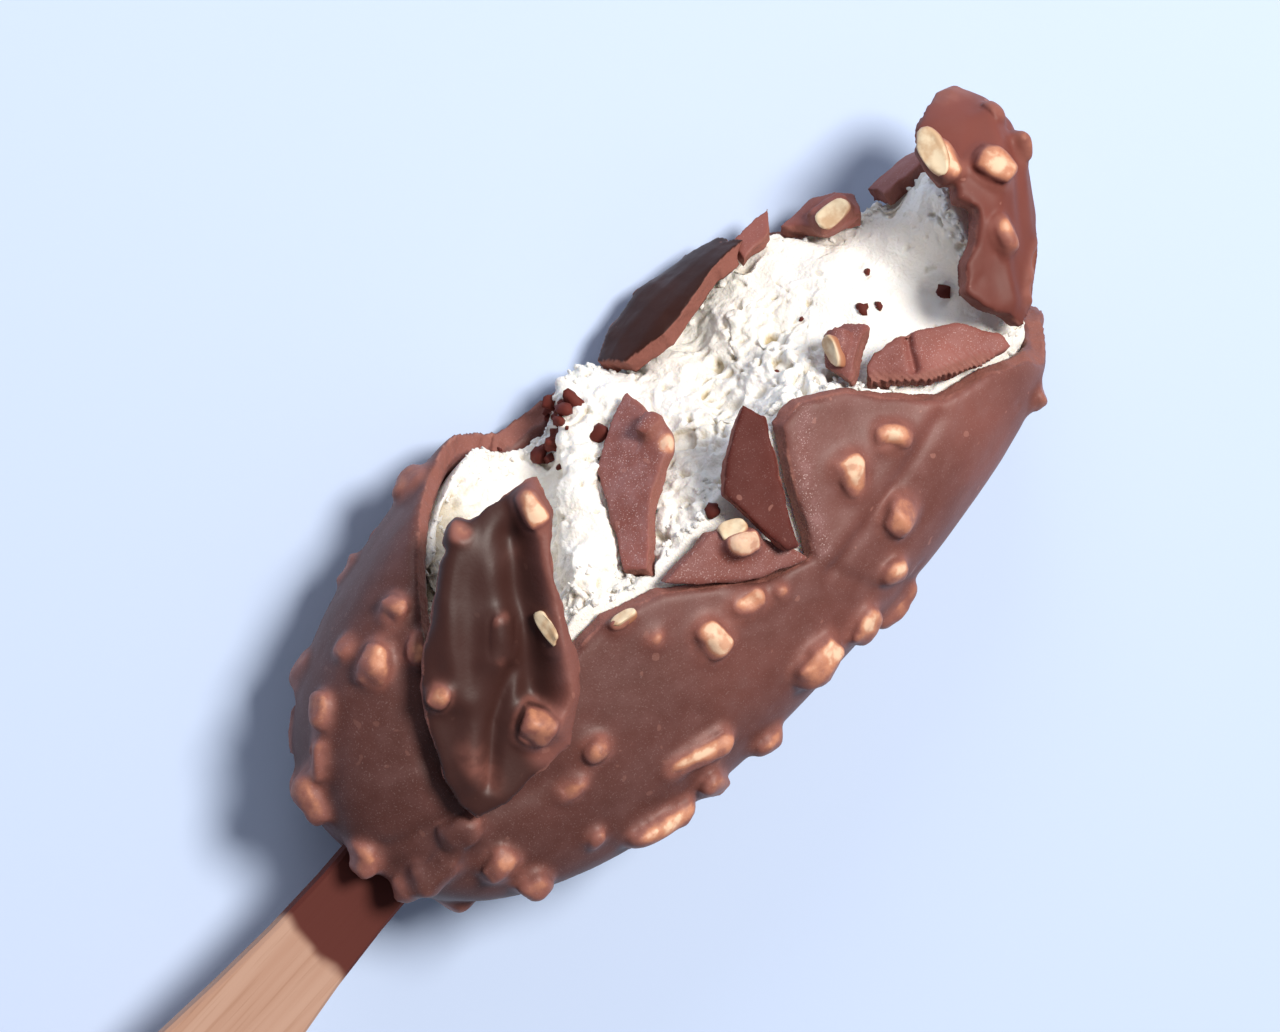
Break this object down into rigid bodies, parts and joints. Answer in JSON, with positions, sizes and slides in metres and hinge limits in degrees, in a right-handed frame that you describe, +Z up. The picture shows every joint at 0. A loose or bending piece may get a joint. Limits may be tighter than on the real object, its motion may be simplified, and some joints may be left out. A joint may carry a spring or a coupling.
{
  "type": "ice cream bar",
  "caption": "Ice cream bar on a flat wooden stick, lying on its back, with a chocolate and nut coat bitten away along one side so the white filling and loose pieces of coat show.",
  "frame": {"origin": "on the flat back of the bar, under the middle of the unbitten bar", "axes": "+X along the bar from the stick to the far tip, +Y to the bitten side, +Z up out of the side that shows"},
  "size_m": [0.157, 0.0456, 0.0299],
  "materials": {
    "coat": "satin",
    "cream": "matt, soft",
    "stick": "plain, sanded",
    "left_flap": "satin",
    "tip_curl": "satin",
    "low_plate": "satin",
    "wedge": "satin",
    "leaf": "satin",
    "boat": "satin",
    "boat_end": "satin",
    "back_shard": "satin",
    "back_tip": "satin",
    "back_nut_piece": "satin",
    "back_edge": "satin"
  },
  "bodies": {
    "root": {"coat": "coat", "cream": "cream", "stick": "stick", "left_flap": "left_flap", "tip_curl": "tip_curl", "low_plate": "low_plate", "wedge": "wedge", "leaf": "leaf", "boat": "boat", "boat_end": "boat_end", "back_shard": "back_shard", "back_tip": "back_tip", "back_nut_piece": "back_nut_piece", "back_edge": "back_edge"}
  },
  "joints": []
}
